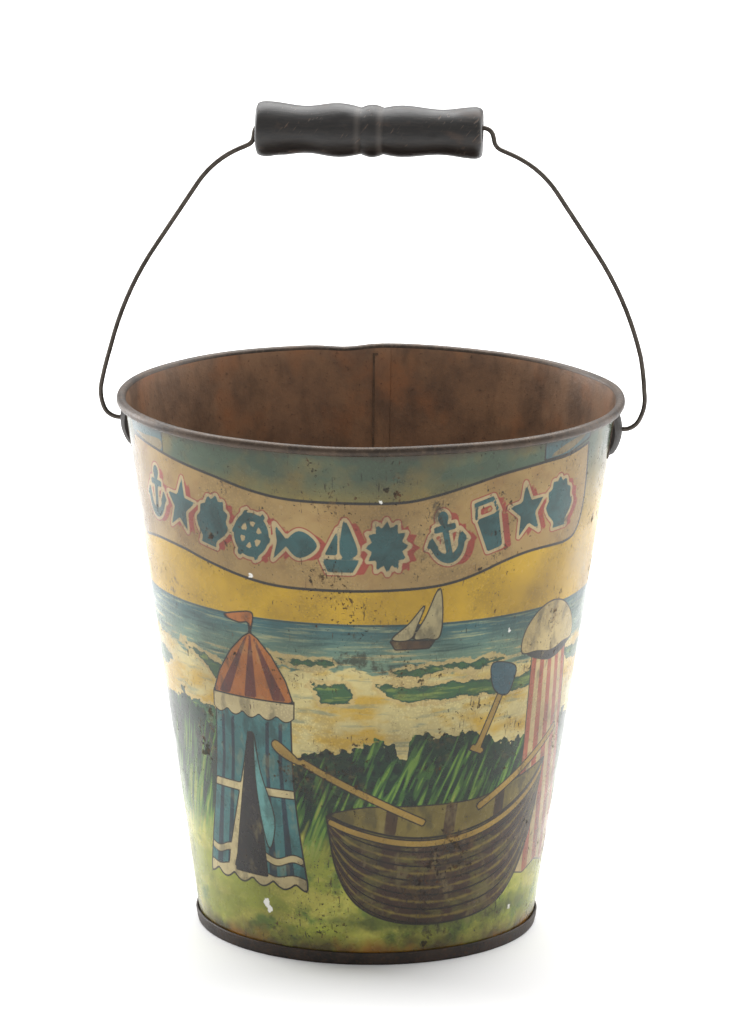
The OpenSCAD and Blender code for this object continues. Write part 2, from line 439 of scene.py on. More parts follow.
def draw_ribbon(art, kinds):
    """A paper ribbon with folded ends under the rim, and the motifs that stand on it."""
    body = np.vstack([curve(RIBBON_TOP, closed=False),
                      curve([(77, 153.5), (77, 140), (75.5, 131), (72, 126), (66, 124.6)], closed=False),
                      curve(RIBBON_FOOT, closed=False),
                      curve([(-88, 121.5), (-95, 128), (-98, 140), (-92, 152)], closed=False)])
    art.ink("ribbon", body)
    art.ink("fold", np.array([(56, 162), (55.5, 151.6), (66, 152), (77.5, 155), (78.5, 162)]),
            np.array([(-71, 162), (-70.5, 149.6), (-80, 150.4), (-93, 153), (-96, 162)]))
    art.ink("fold_light", curve([(58, 152.4), (66, 153), (76, 156.8), (72, 156.6), (64, 155)]),
            curve([(-90, 153.4), (-80, 151.4), (-72, 150.8), (-72, 154), (-82, 153.6)]))
    for i, kind in enumerate(kinds):
        row_gap = 4 if i > 6 else 0
        draw_motif(art, kind, -76 + 13.5 * i + row_gap, 16)


def draw_sailboat(art, x, z, size):
    """A small boat under two sails on the horizon."""
    def at(points):
        return np.array(points) * size + (x, z)
    art.ink("sail", at(curve([(1, 1.6), (4.5, 8), (8.5, 16.6), (9.6, 9), (8.6, 1.4), (4.8, 1.2)], steps=5)),
            at(curve([(-5.4, 1.4), (-0.5, 6), (4.2, 11.6), (2.2, 5.8), (0, 1.2)], steps=5)))
    art.ink("hull", at([(-6.2, 1.2), (7.4, 0.6), (5.6, -1.8), (-4.4, -1.9)]))


def draw_bathing_tent(art, x):
    """A round striped bathing tent with an orange roof, a white valance and a flared skirt."""
    z = art.z
    middle = art.x - x
    roof = np.array([(x, 101), (x + 2.5, 99.4), (x + 7, 94.6), (x + 11.5, 87.4), (x + 14, 80.5),
                     (x - 14, 80.5), (x - 11.5, 87.4), (x - 7, 94.6), (x - 2.5, 99.4)])
    roof_field = art.distance(roof)
    art.ink("orange", roof_field)
    spread = np.maximum((102.5 - z) * 0.62, 1.0)
    for k in (-2, 0, 2):
        art.ink("maroon", (np.abs(middle / spread - k * 0.36) - 0.16) * spread, within=roof_field + 0.4)
    art.ink("orange", curve([(x, 101), (x + 0.9, 107), (x - 4, 106.8), (x - 9.5, 105), (x - 4, 103.6),
                             (x - 0.8, 104)]))
    wall = curve([(x - 13.2, 77), (x - 13.8, 60), (x - 15.4, 44), (x - 18.6, 24)], closed=False)
    other = wall[::-1] * (-1, 1) + (2 * x, 0)
    hem_x = np.linspace(x - 18.6, x + 18.6, 48)
    hem = np.c_[hem_x, 24 - 2.2 * np.abs(np.sin((hem_x - x) * math.pi / 7.44))]
    cloth = art.distance(np.vstack([wall, hem, other]))
    art.ink("teal", cloth)
    flare = 13.4 + np.maximum(60 - z, 0) * 0.13
    for fold in (-0.78, -0.5, 0.42, 0.74):
        deep = (np.abs(middle / flare - fold) - 0.045 - np.clip((52 - z) / 900, 0, 0.05)) * flare
        art.ink("fold_dark", deep, within=np.maximum(cloth + 0.7, z - 74))
    wave = 1.1 * np.sin(middle * 0.55)
    art.ink("white", np.abs(z - 31 - wave * 0.8) - 1.2, np.abs(z - 52) - 1.3, z - 26 - wave * 0.5,
            within=cloth + 0.1)
    scallop = z - 76.2 + 1.7 * np.abs(np.cos(middle * math.pi / 5.8))
    art.ink("white", np.maximum(-scallop, np.maximum(z - 81.2, np.abs(middle) - 14.2)))
    door = np.array([(x - 1, 70), (x + 0.6, 70), (x + 5.6, 25), (x - 6.5, 25)])
    art.ink("doorway", door)
    art.ink("white", curve([(x - 1, 70.5), (x - 2.6, 60), (x - 6, 44), (x - 9.5, 27), (x - 7, 26),
                            (x - 3.6, 44)], steps=4))
    art.ink("flap", curve([(x + 1, 70), (x + 3.2, 58), (x + 8, 44), (x + 6.4, 34), (x + 3.6, 42),
                           (x + 1.4, 56)], steps=4))


SHEER = [(-12, 47), (-4, 43.6), (8, 40.4), (20, 39.4), (33, 41), (46, 45.2), (57, 51), (64, 57)]
KEEL = [(-12, 47), (-9, 30), (-3, 19), (8, 13.4), (24, 12), (40, 14.6), (50, 22), (58, 36), (64, 57)]


def draw_rowing_boat(art):
    """A clinker-built rowing boat drawn up on the grass, its oars leaning in it."""
    sheer, keel = curve(SHEER, closed=False), curve(KEEL, closed=False)
    hull = art.distance(np.vstack([sheer, keel[::-1]]))
    top = np.interp(art.x, *sheer.T)
    low_line = curve([(-12, 40), (-9, 30), (-3, 20), (8, 14), (24, 12), (40, 14.6), (50, 22), (58, 36),
                      (64, 50)], closed=False)
    foot = np.interp(art.x, *low_line.T)
    art.ink("brown", hull)
    far_side = curve([(-12, 47), (0, 49.6), (16, 49.6), (34, 50), (50, 53.6), (64, 57)], closed=False)
    inside = art.distance(np.vstack([sheer, far_side[::-1]]))
    art.ink("bilge", inside)
    for x in (6, 24, 41):
        art.ink("thwart", np.array([(x - 2.6, 30), (x + 1, 30), (x + 4.6, 60), (x + 1, 60)]),
                within=inside + 0.3)
    strake = (top - art.z) / np.maximum(top - foot, 1)
    art.inks["strake"] = np.where(hull < 1.5, strake, art.inks.get("strake", -1.0))
    art.ink("ochre", np.abs(top - art.z - 1.9) - 1.05, within=hull + 0.1)
    art.ink("ochre", bar(-20, 63, 17, 44, 2.2), bar(70, 66, 34, 47, 2.2))
    art.ink("ochre", curve([(-20, 63), (-27, 68.6), (-29, 67), (-26, 64), (-20.4, 61.6)], steps=4))
    art.ink("shadow", disc(24, 13.4, 34, 3.4))


def draw_spade(art, x, z):
    """A toy spade with a blue blade, blade up."""
    art.ink("blue", curve([(x - 2.6, z + 9.2), (x + 5.8, z + 7.2), (x + 5.2, z + 2), (x + 3, z - 1.4),
                           (x - 0.8, z - 0.4), (x - 2.8, z + 3)], steps=5))
    art.ink("ochre", bar(x + 1, z + 0.5, x - 7.6, z - 17, 2.0), bar(x - 9.8, z - 16, x - 5.4, z - 18, 2.0))


def draw_striped_tent(art, x):
    """A cream and pink striped tent under a round cream roof."""
    middle = art.x - x
    wall = art.distance(np.array([
        (x - 9, 94), (x - 11, 62), (x - 17, 24), (x - 8, 21.6), (x, 24), (x + 8, 21.6),
        (x + 17, 24), (x + 11, 62), (x + 9, 94)]))
    art.ink("cream", wall)
    flare = 9 + np.maximum(92 - art.z, 0) * 0.09
    for k in (-0.86, -0.43, 0, 0.43, 0.86):
        art.ink("pink", (np.abs(middle / flare - k) - 0.11) * flare, within=wall + 0.2)
    art.ink("lining", curve([(x - 12, 92.6), (x, 88.4), (x + 12, 92.6), (x, 95)]))
    art.ink("roof", curve([(x - 13.6, 93), (x - 12.6, 99.4), (x - 7, 105), (x, 107), (x + 7, 105),
                           (x + 12.6, 99.4), (x + 13.6, 93), (x + 7, 92.4), (x, 91.2), (x - 7, 92.4)]))


def draw_sand_castle(art, x):
    """A sand castle with four towers and paper flags."""
    wall = [(x - 22, 18), (x - 19, 42), (x + 19, 42), (x + 22, 18)]
    towers = [(-19, 50, 6), (-7, 60, 6.4), (7, 56, 6.4), (19, 49, 6)]
    art.ink("sand", np.array(wall))
    for at, high, wide in towers:
        body = np.array([(x + at - wide, 20), (x + at - wide * 0.8, high), (x + at + wide * 0.8, high),
                         (x + at + wide, 20)])
        art.ink("sand", body, *[np.array([(x + at + k - 1, high - 1), (x + at + k - 1, high + 2),
                                          (x + at + k + 1, high + 2), (x + at + k + 1, high - 1)])
                                for k in (-3.6, 0, 3.6)])
        art.ink("ochre", bar(x + at, high, x + at, high + 13, 1.6))
        art.ink("orange", np.array([(x + at + 0.4, high + 13), (x + at + 8, high + 10.5),
                                    (x + at + 0.4, high + 8)]))
    gate = np.hypot(art.x - x, np.maximum(art.z - 28, 0)) - 4.4
    art.ink("doorway", gate, within=19 - art.z)


# the tops of the bushes and the edge of the surf: degrees from the front, height
BUSH = [(-180, 66), (-165, 71), (-150, 64), (-132, 70), (-115, 62), (-98, 68), (-78, 73), (-62, 76),
        (-52, 72), (-40, 66), (-26, 63), (-21, 62.5), (-15.5, 66.5), (-9, 67), (-5, 66), (-2, 69),
        (3.5, 70), (7.5, 68), (9, 63.5), (11, 63.5), (12, 70), (16, 72), (22, 70.5), (30, 71.5),
        (37, 68), (44, 66), (56, 66), (72, 70), (90, 64), (112, 71), (134, 65), (156, 72), (180, 66)]
SURF = [(-180, 92), (-140, 86), (-100, 93), (-70, 93), (-58, 90), (-50, 88), (-30, 90), (-11, 92),
        (-3, 92.6), (1, 90.5), (6, 91), (14, 90), (30, 91), (48, 90), (75, 92), (110, 87), (150, 92),
        (180, 92)]
WAVES = [  # outlines of the green backs of the waves: arc from the drawing line, height
    [(2, 88), (10, 87), (18, 86.6), (27, 87.4), (36, 86.8), (46, 86.2), (56, 87), (62, 85), (54, 82.6),
     (44, 82.2), (32, 82.8), (23, 82.6), (15, 82), (10, 82.6), (6, 84.4)],
    [(-17, 87.2), (-11, 87), (-6.5, 87.6), (-4.8, 84), (-6, 82), (-10, 81.8), (-13.6, 81.6), (-14.6, 84.6)],
    [(7, 91.4), (14, 92.4), (21, 92.8), (29, 93), (36, 93.4), (42, 92.6), (33, 91.2), (24, 91.6), (18, 90.6),
     (12, 89.6)],
    [(-66, 93.6), (-61, 92), (-56, 91.4), (-50, 90), (-46.5, 88.4), (-45.6, 82.6), (-49, 84.6), (-52, 87.4),
     (-58, 90)],
    [(-68, 77.6), (-63, 75), (-57, 75.4), (-49, 74), (-47, 70), (-51, 68.4), (-58, 69), (-64, 71)],
    [(-30, 95.4), (-22, 94), (-14, 94.6), (-10, 93.6), (-17, 92.4), (-26, 93.4)],
    [(70, 90.6), (80, 89), (88, 89.6), (97, 88), (92, 85.6), (82, 84.4), (74, 86.4)],
    [(-96, 88.6), (-88, 87), (-80, 87.6), (-73, 86), (-78, 83), (-87, 82.4), (-93, 84.4)],
]


def draw_ground(art):
    """The bush line, the edge of the surf and the green backs of the waves."""
    around = np.degrees(wrapped(art.angle - FRONT))
    art.inks["bush"] = art.z - np.interp(around, *np.array(BUSH).T)
    art.inks["surf"] = art.z - np.interp(around, *np.array(SURF).T)
    for turn in (0, 180):
        art.turn_to(turn, mirror=turn == 180)
        for outline in WAVES:
            art.ink("waves", curve(outline, steps=4))


SMUDGES = [  # arc from the drawing line, height, half width, half height, strength
    (-4, 95, 9, 2.6, 1.0), (4, 92, 5, 2, 0.7), (20, 139, 3.5, 6, 0.75), (24, 131, 4, 4, 0.6),
    (16, 128, 2, 6, 0.5), (-58, 64, 4, 3, 0.8), (-12, 24, 7, 5, 0.55), (22, 10, 12, 4, 0.7),
    (-24, 8, 12, 3, 0.5), (45, 12, 8, 6, 0.5), (52, 55, 5, 9, 0.55), (-70, 110, 6, 5, 0.5),
    (-30, 40, 5, 4, 0.45), (66, 131, 4, 5, 0.5), (70, 40, 6, 8, 0.5),
]
CHIPS = [  # arc from the drawing line, height, half width, half height
    (-35.5, 118.6, 0.9, 0.8), (3, 143.4, 0.7, 0.6), (-31, 16.6, 1.0, 1.5), (-29.8, 14.8, 1.0, 1.2),
    (49, 12, 0.7, 0.9), (44, 101, 0.6, 0.8),
]


def draw_wear(art):
    """Smudges of grime, and chips down to the bright tin."""
    smudge = np.zeros(len(art.x))
    for turn in (0, 180):
        art.turn_to(turn, mirror=turn == 180)
        for x, z, wide, tall, strength in SMUDGES:
            smudge += strength * np.exp(-((art.x - x) / wide) ** 2 - ((art.z - z) / tall) ** 2)
        for x, z, wide, tall in CHIPS:
            art.ink("chips", disc(x, z, wide, tall, 9))
    art.inks["smudge"] = smudge


def draw_print(angle, z):
    """All ink distances at points of the sheet's outer face."""
    art = Print(angle, z)
    draw_ground(art)
    draw_wear(art)
    art.turn_to(0)
    draw_ribbon(art, ["anchor", "star", "shell", "wheel", "fish", "boat", "sun", "anchor", "pail",
                      "star", "shell"])
    draw_sailboat(art, 12, 100.2, 1.0)
    draw_bathing_tent(art, -36)
    draw_striped_tent(art, 63)
    draw_rowing_boat(art)
    draw_spade(art, 41, 82.5)
    art.turn_to(180)
    draw_ribbon(art, ["shell", "sun", "anchor", "fish", "star", "pail", "wheel", "boat", "star",
                      "anchor", "shell"])
    draw_bathing_tent(art, 46)
    draw_sand_castle(art, -8)
    draw_sailboat(art, -40, 100.2, 0.9)
    draw_sailboat(art, 14, 100.6, 0.6)
    draw_spade(art, -52, 70)
    return art.inks


# ---------------------------------------------------------------- the print's finish


def laid(tree, under, ink, edge, soft=0.14):
    """An ink laid over the colour under it, inside the edge where the distance is zero."""
    return over(tree, under, srgb(ink), span(tree, edge, soft, -soft))


def keyed(tree, under, edge, half=0.22, ink="#2c2a26"):
    """A dark key line of the given half width along an edge."""
    return laid(tree, under, ink, sums(tree, "SUBTRACT", sums(tree, "ABSOLUTE", edge), half), 0.12)


def printed_picture(tree, where):
    """The printed picture's colour before it aged."""
    def field(name):
        return add(tree, "ShaderNodeAttribute", {"attribute_name": name}).outputs["Fac"]

    high = add(tree, "ShaderNodeSeparateXYZ", inputs={0: where}).outputs[2]
    ragged = mottle(tree, where, 4.2, detail=2, rough=0.6)
    tufts = sums(tree, "MULTIPLY_ADD", ragged, 9.0, -4.5)
    foam = sums(tree, "MULTIPLY_ADD", mottle(tree, where, 5, (1.6, 1.6, 0.7), 3, 0.65, 3.0), 7.0, -3.5)
    streaks = mottle(tree, where, 9, (1.9, 1.9, 0.13), 4, 0.6)
    lean = add(tree, "ShaderNodeAttribute", {"attribute_name": "lean"}).outputs["Vector"]
    blades = mottle(tree, lean, 1.7, (1, 1, 8), 1, 0.5)

    # sky: grey-green under the rim, warm yellow down to the horizon
    sky = over(tree, srgb("#cbab27"), srgb("#51695b"), span(tree, high, 128, 150))
    sky = over(tree, sky, srgb("#ad8e35"), span(tree, mottle(tree, where, 12), 0.5, 0.8, 0, 0.5))

    # sea: blue at the horizon, green and streaked with foam towards the shore
    sea = over(tree, srgb("#3f6f7c"), srgb("#74978a"), span(tree, high, 104, 94))
    sea = over(tree, sea, srgb("#9db097"), span(tree, streaks, 0.52, 0.66, 0, 0.85))
    sea = over(tree, sea, srgb("#2f5358"), span(tree, streaks, 0.46, 0.34, 0, 0.8))
    crest = span(tree, sums(tree, "ADD", streaks, span(tree, high, 102, 88, 0, 0.16)), 0.66, 0.7)
    sea = over(tree, sea, srgb("#b6b48e"), sums(tree, "MULTIPLY", crest, span(tree, high, 104, 97)))
    picture = over(tree, sky, sea, span(tree, high, 106.15, 105.9))
    picture = laid(tree, picture, "#35565e", sums(tree, "SUBTRACT", sums(
        tree, "ABSOLUTE", sums(tree, "SUBTRACT", high, 105.7)), 0.3))

    # surf: cream foam with yellow in it, and the green backs of the waves
    beach = over(tree, srgb("#d8d29e"), srgb("#cfb34c"),
                 span(tree, mottle(tree, where, 11, (1.5, 1.5, 0.6), 3, 0.6, 9.0), 0.46, 0.62))
    beach = over(tree, beach, srgb("#93a38f"),
                 span(tree, mottle(tree, where, 7, (2, 2, 0.3), 3, 0.6, 5.0), 0.56, 0.66, 0, 0.7))
    picture = over(tree, picture, beach, span(tree, sums(tree, "ADD", field("surf"), foam), 0.3, -0.3))
    lap = mottle(tree, where, 2.6, (1.4, 1.4, 0.8), 3, 0.6, 4.0)
    wave = sums(tree, "ADD", field("waves"), sums(tree, "MULTIPLY_ADD", lap, 4.4, -2.2))
    back = over(tree, srgb("#3d6a48"), srgb("#7a9652"),
                span(tree, mottle(tree, where, 4, (2.2, 2.2, 0.4), 2, 0.5, 2.0), 0.52, 0.64))
    picture = over(tree, picture, srgb("#d0c08a"), span(tree, wave, 1.5, 1.1, 0, 0.8))
    picture = over(tree, picture, back, span(tree, wave, 0.12, -0.12))
    picture = over(tree, picture, srgb("#2f5248"), span(
        tree, sums(tree, "ABSOLUTE", sums(tree, "ADD", wave, 0.25)), 0.5, 0.2, 0, 0.75))

    # bushes, the long grass under them and the lawn
    bush_edge = sums(tree, "ADD", field("bush"), tufts)
    bush = over(tree, srgb("#1b3a2a"), srgb("#162823"), span(tree, mottle(tree, where, 2.6), 0.5, 0.6))
    bush = over(tree, bush, srgb("#365a3b"),
                span(tree, mottle(tree, where, 3, shift=4.0), 0.58, 0.68, 0, 0.8))
    depth = sums(tree, "MULTIPLY", field("bush"), -1.0)
    leafy = sums(tree, "ADD", blades, span(tree, depth, 3, 32, -0.13, 0.1))
    grass = over(tree, bush, srgb("#3f6b35"), span(tree, leafy, 0.45, 0.5))
    grass = over(tree, grass, srgb("#6f9a45"), span(tree, leafy, 0.55, 0.6))
    grass = over(tree, grass, srgb("#9aae58"), span(tree, leafy, 0.66, 0.72))
    lawn = over(tree, srgb("#a2b24c"), srgb("#c4c967"),
                span(tree, mottle(tree, where, 13, (1.6, 1.6, 0.7), 3, 0.6, 6.0), 0.48, 0.62))
    lawn = over(tree, lawn, srgb("#708f42"),
                span(tree, mottle(tree, where, 8, detail=4, shift=8.0), 0.54, 0.66))
    meadow = sums(tree, "ADD", high, sums(tree, "ADD", sums(tree, "MULTIPLY", tufts, 0.8),
                                          sums(tree, "MULTIPLY", blades, 26.0)))
    grass = over(tree, grass, lawn, span(tree, meadow, 52, 44))
    picture = over(tree, picture, grass, span(tree, bush_edge, 0.15, -0.15))

    # things on the beach, from the far ones to the near ones
    shading = mottle(tree, where, 5, (1, 1, 2.2), 3, 0.6, 1.0)
    for name, ink, key in (
            ("hull", "#5a4630", 0.2), ("sail", "#b9b492", 0.2),
            ("cream", "#c3b48a", 0.22), ("pink", "#a85f4a", 0.0), ("lining", "#33322f", 0.0),
            ("roof", "#c0b384", 0.22), ("sand", "#b79a55", 0.24),
            ("teal", "#47808c", 0.26), ("fold_dark", "#2d4356", 0.0), ("white", "#d0c9a4", 0.2),
            ("doorway", "#323136", 0.2), ("flap", "#69a6b0", 0.2), ("orange", "#b8753a", 0.24),
            ("maroon", "#6f3b31", 0.0), ("shadow", "#6e7e3e", 0.0), ("bilge", "#7d7440", 0.22),
            ("thwart", "#4a3a2a", 0.0), ("brown", "#43322a", 0.28)):
        edge = field(name)
        tint = over(tree, srgb(ink), over(tree, srgb(ink), srgb("#20282a"), 0.45),
                    span(tree, shading, 0.52, 0.64))
        tint = over(tree, tint, over(tree, srgb(ink), srgb("#c8c090"), 0.18),
                    span(tree, shading, 0.44, 0.34))
        soft = 0.14
        if name == "shadow":
            edge = sums(tree, "ADD", edge, sums(tree, "MULTIPLY", tufts, 0.6))
            soft = 1.6
        picture = over(tree, picture, tint, span(tree, edge, soft, -soft))
        if name == "brown":
            strake = sums(tree, "PINGPONG", sums(tree, "MULTIPLY", field("strake"), 6.0), 0.5)
            inside = span(tree, edge, 0.1, -0.3)
            light = sums(tree, "MULTIPLY", inside, span(tree, sums(
                tree, "ADD", strake, sums(tree, "MULTIPLY", shading, 0.5)), 0.62, 0.76, 0, 0.75))
            worn = span(tree, mottle(tree, where, 8, (1.6, 1.6, 0.8), 4, 0.6, 3.0), 0.5, 0.62, 0, 0.75)
            picture = over(tree, picture, srgb("#6a6a3c"), sums(tree, "MULTIPLY", inside, worn))
            picture = over(tree, picture, srgb("#8f8244"), light)
            picture = over(tree, picture, srgb("#241c18"),
                           sums(tree, "MULTIPLY", inside, span(tree, strake, 0.09, 0.03)))
        if key:
            picture = keyed(tree, picture, edge, key)
    for name, ink in (("ochre", "#a8904e"), ("blue", "#43697f")):
        picture = keyed(tree, laid(tree, picture, ink, field(name)), field(name), 0.2)

    # the ribbon and its row of motifs
    picture = keyed(tree, laid(tree, picture, "#4f7280", field("fold")), field("fold"), 0.25)
    picture = laid(tree, picture, "#8b8268", field("fold_light"))
    ribbon = over(tree, srgb("#a8905f"), srgb("#b29c6c"),
                  span(tree, mottle(tree, where, 16, shift=7.0), 0.4, 0.7))
    ribbon = over(tree, ribbon, srgb("#917049"),
                  span(tree, mottle(tree, where, 9, shift=2.0), 0.55, 0.75, 0, 0.6))
    picture = over(tree, picture, ribbon, span(tree, field("ribbon"), 0.15, -0.15))
    picture = laid(tree, picture, "#a04a3e", field("shade"))
    rim = field("motif")
    picture = laid(tree, picture, "#9c4a40", sums(tree, "SUBTRACT", rim, 1.25))
    picture = laid(tree, picture, "#c0b392", sums(tree, "SUBTRACT", rim, 0.9))
    picture = over(tree, picture, over(tree, srgb("#35646e"), srgb("#2c535a"), span(
        tree, mottle(tree, where, 6, shift=5.0), 0.45, 0.6)), span(tree, rim, 0.12, -0.12))
    picture = keyed(tree, picture, field("ribbon"), 0.42)
    return picture


def make_print():
    """Lithographed tinplate: flat inks under a yellowed, crazed varnish, freckled with rust."""
    made, tree = material("aged_litho_tinplate")
    where = in_mm(tree)
    colour = printed_picture(tree, where)

    def field(name):
        return add(tree, "ShaderNodeAttribute", {"attribute_name": name}).outputs["Fac"]

    high = add(tree, "ShaderNodeSeparateXYZ", inputs={0: where}).outputs[2]

    # litho stipple, coarser than the real one so that it shows
    stipple = add(tree, "ShaderNodeTexVoronoi", inputs={"Vector": where, "Scale": 1 / 0.8})
    dots = span(tree, stipple.outputs["Distance"], 0.25, 0.5, 0.0, 0.22)
    colour = over(tree, colour, srgb("#3a3a2c"), sums(
        tree, "MULTIPLY", dots, span(tree, mottle(tree, where, 14, shift=11.0), 0.42, 0.6)))

    # yellowed varnish, broad grime, and a dark band under the rim that is soiling and painted shade
    colour = over(tree, colour, srgb("#c2a562"), 0.5, "MULTIPLY")
    grime = span(tree, mottle(tree, where, 26, detail=4, shift=3.0), 0.4, 0.72, 0.05, 0.5)
    colour = over(tree, colour, srgb("#6a5a40"), grime, "MULTIPLY")
    smear = sums(tree, "ADD", field("smudge"), sums(tree, "MULTIPLY_ADD", mottle(
        tree, where, 2.6, detail=4, rough=0.7, shift=21.0), 3.4, -1.7))
    colour = over(tree, colour, srgb("#2b281c"), span(tree, smear, 0.45, 1.0, 0, 0.8))
    foot = span(tree, sums(tree, "ADD", high, sums(tree, "MULTIPLY", mottle(tree, where, 7), -12.0)), 4, -2)
    colour = over(tree, colour, srgb("#3d2f1e"), sums(tree, "MULTIPLY", foot, 0.9))
    orange = span(tree, sums(tree, "ADD", high, sums(tree, "MULTIPLY", mottle(
        tree, where, 14, detail=4, shift=37.0), -30.0)), -9, -15)
    colour = over(tree, colour, srgb("#96641f"), sums(tree, "MULTIPLY", orange, 0.6))
    # a dark band just under the rim's curl: soiling, and painted shade where the curl overhangs the wall
    top = span(tree, sums(tree, "ADD", high, sums(tree, "MULTIPLY", mottle(tree, where, 5, shift=1.0), 4.0)),
               157.0, 160)
    colour = over(tree, colour, srgb("#3d3228"), sums(tree, "MULTIPLY", top, 0.85))

    # rust freckles in drifts: fine specks, ragged spots and thin scratches up the wall
    drift = mottle(tree, where, 17, detail=3, rough=0.6, shift=13.0)

    def freckles(size, cut, pull, stretch=(1, 1, 1), detail=2, shift=0.0):
        near = sums(tree, "MULTIPLY_ADD", drift, pull,
                    mottle(tree, where, size, stretch, detail, 0.6, shift))
        return span(tree, near, cut, cut + 0.035)

    rust = freckles(0.9, 0.88, 0.4)
    rust = sums(tree, "MAXIMUM", rust, freckles(1.9, 0.985, 0.55, detail=3, shift=41.0))
    rust = sums(tree, "MAXIMUM", rust, freckles(3.6, 1.1, 0.75, detail=4, shift=43.0))
    scratch = freckles(0.6, 0.95, 0.45, (1, 1, 16), 1, 47.0)
    rust = sums(tree, "MAXIMUM", rust, sums(tree, "MULTIPLY", scratch, 0.8))
    tone = over(tree, srgb("#1f1913"), srgb("#4a2f19"),
                span(tree, mottle(tree, where, 3, shift=23.0), 0.5, 0.65))
    colour = over(tree, colour, tone, sums(tree, "MULTIPLY", rust, 0.88))
    halo = span(tree, drift, 0.56, 0.7, 0.0, 0.5)
    colour = over(tree, colour, srgb("#6e5428"), sums(tree, "MULTIPLY", halo, span(
        tree, mottle(tree, where, 2.4, shift=29.0), 0.5, 0.7)))

    # a few bare chips down to bright tin
    bright = span(tree, sums(tree, "ADD", field("chips"), sums(tree, "MULTIPLY_ADD", mottle(
        tree, where, 0.8, shift=53.0), 1.2, -0.6)), 0.08, -0.08)
    colour = over(tree, colour, srgb("#d8d6ce"), bright)

    rough = span(tree, mottle(tree, where, 9, shift=31.0), 0.35, 0.7, 0.2, 0.34)
    rough = sums(tree, "MAXIMUM", rough, sums(tree, "MULTIPLY", rust, 0.75))
    relief = sums(tree, "ADD", sums(tree, "MULTIPLY", mottle(tree, where, 1.2, detail=4), 0.35),
                  sums(tree, "MULTIPLY", rust, 0.6))
    shader = add(tree, "ShaderNodeBsdfPrincipled", inputs={
        "Base Color": colour, "Roughness": rough, "IOR": 1.43,
        "Normal": bump(tree, relief, 0.04, 0.6)})
    finish_with(tree, shader)
    return made


# ---------------------------------------------------------------- bare and rusted metal


def rusted_steel(name, dark, mid, light, size, metal, rough, depth, share=0.5):
    """Bare steel gone brown: cloudy rust in three tones, duller where it is thickest."""
    made, tree = material(name)
    where = in_mm(tree)
    clouds = mottle(tree, where, size, detail=5, rough=0.62)
    fine = mottle(tree, where, size / 7, detail=4, rough=0.65, shift=5.0)
    colour = over(tree, srgb(dark), srgb(mid), span(tree, clouds, 0.36, 0.6))
    colour = over(tree, colour, srgb(light), span(tree, fine, 0.5, 0.72, 0, share))
    pits = span(tree, mottle(tree, where, 1.1, detail=2, shift=9.0), 0.66, 0.74, 0, 0.8)
    colour = over(tree, colour, srgb("#1d1511"), pits)
    shader = add(tree, "ShaderNodeBsdfPrincipled", inputs={
        "Base Color": colour, "Metallic": metal,
        "Roughness": span(tree, fine, 0.3, 0.75, rough - 0.1, rough + 0.14),
        "Normal": bump(tree, sums(tree, "ADD", fine, sums(tree, "MULTIPLY", pits, -0.6)), depth)})
    finish_with(tree, shader)
    return made


def make_inside():
    """The bare tinplate inside: brown with even rust and streaked, darkened with painted shade low down and
    by the ears.
    """
    made, tree = material("rust_browned_tin_lining")
    where = in_mm(tree)
    clouds = mottle(tree, where, 14, (1, 1, 1.2), 5, 0.62)
    runs = mottle(tree, where, 6, (1, 1, 3), 4, 0.6, 4.0)
    fine = mottle(tree, where, 1.4, detail=4, rough=0.7, shift=7.0)
    colour = over(tree, srgb("#725946"), srgb("#967356"), span(tree, clouds, 0.38, 0.62))
    colour = over(tree, colour, srgb("#a4704a"),
                  span(tree, mottle(tree, where, 17, shift=12.0), 0.52, 0.68, 0, 0.7))
    colour = over(tree, colour, srgb("#52402f"), span(tree, runs, 0.54, 0.7, 0, 0.36))
    colour = over(tree, colour, srgb("#33241b"), span(tree, fine, 0.6, 0.72, 0, 0.6))
    colour = over(tree, colour, srgb("#98806a"), span(tree, fine, 0.38, 0.26, 0, 0.35))
    place = add(tree, "ShaderNodeSeparateXYZ", inputs={0: where}).outputs
    # painted shade: the lining is darkened low down inside the pail and towards the sides by the ears
    painted_shade = sums(tree, "ADD", span(tree, place[2], 140, 112, 0, 0.3),
                span(tree, sums(tree, "ABSOLUTE", place[0]), 34, 68, 0, 0.36))
    colour = over(tree, colour, srgb("#2a1e16"), painted_shade)
    shader = add(tree, "ShaderNodeBsdfPrincipled", inputs={
        "Base Color": colour, "Metallic": 0.25,
        "Roughness": span(tree, clouds, 0.35, 0.65, 0.36, 0.56),
        "Normal": bump(tree, sums(tree, "ADD", fine, sums(tree, "MULTIPLY", runs, 0.6)), 0.08)})
    finish_with(tree, shader)
    return made


